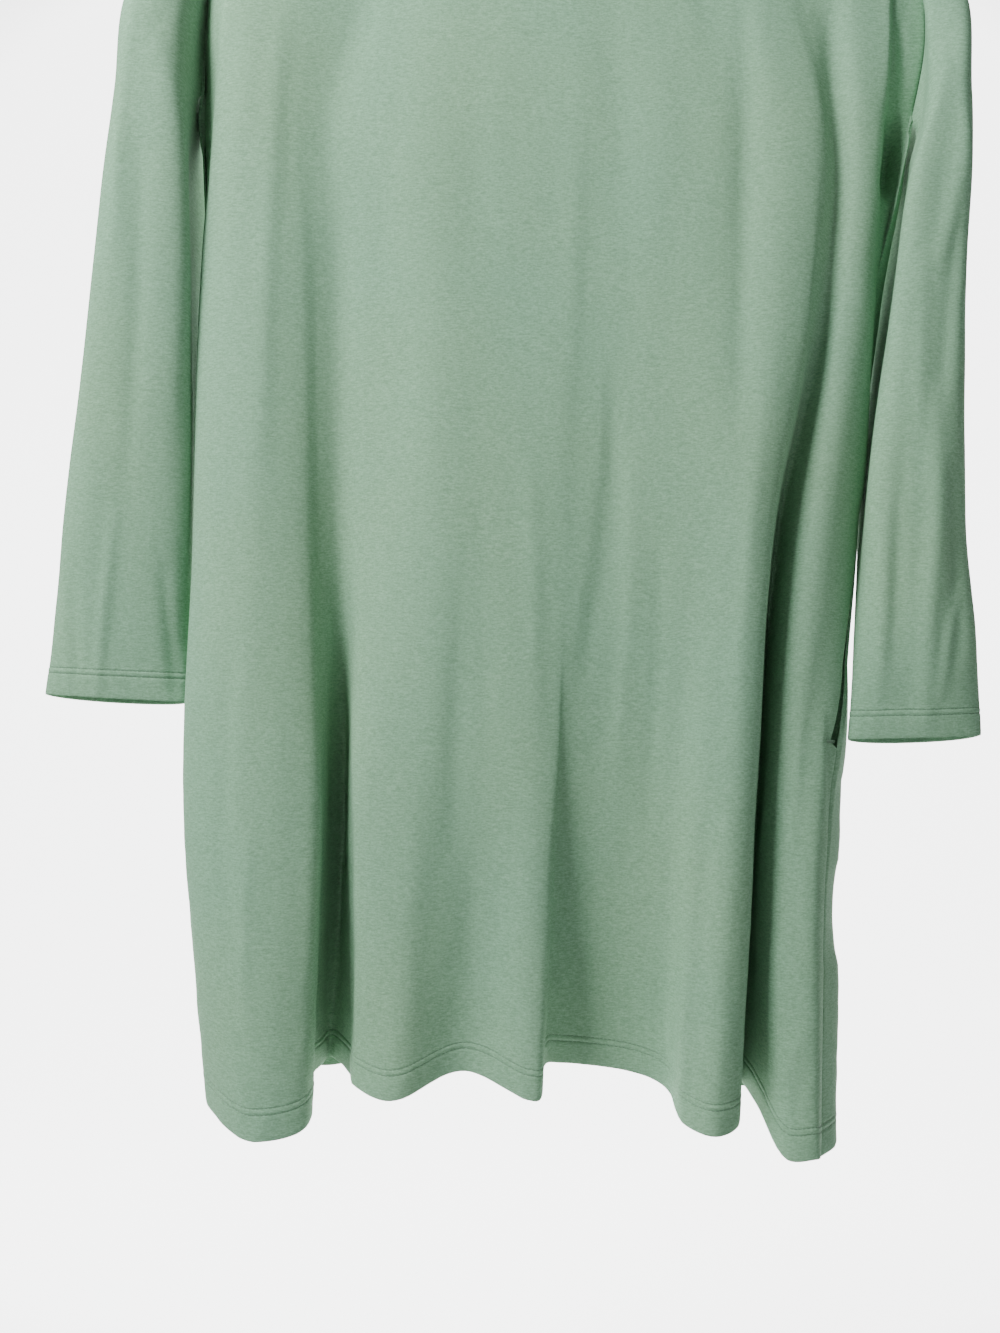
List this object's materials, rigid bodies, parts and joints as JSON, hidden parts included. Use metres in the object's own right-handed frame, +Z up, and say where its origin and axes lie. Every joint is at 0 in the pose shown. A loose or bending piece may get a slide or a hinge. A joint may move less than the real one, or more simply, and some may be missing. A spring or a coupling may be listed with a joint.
{
  "type": "swing dress on a hanger",
  "caption": "Long-sleeved jersey swing dress with a flared skirt and side-seam pockets, hanging on a slim wooden hanger with a wire hook; neck, cuffs and hem are open.",
  "frame": {"origin": "inner top of the hanger's hook, where a rail carries it", "axes": "+Z up, the dress faces -Y, the wearer's left is +X"},
  "size_m": [0.704, 0.145, 1.0786],
  "materials": {
    "sage_jersey": "soft matte knit",
    "hanger_wood": "satin",
    "hook_steel": "satin"
  },
  "bodies": {
    "root": {"front_panel": "sage_jersey", "back_panel": "sage_jersey", "right_sleeve": "sage_jersey", "left_sleeve": "sage_jersey", "neckband": "sage_jersey", "right_pocket_bag": "sage_jersey", "left_pocket_bag": "sage_jersey", "hanger": "hanger_wood", "hanger_hook": "hook_steel"}
  },
  "joints": []
}
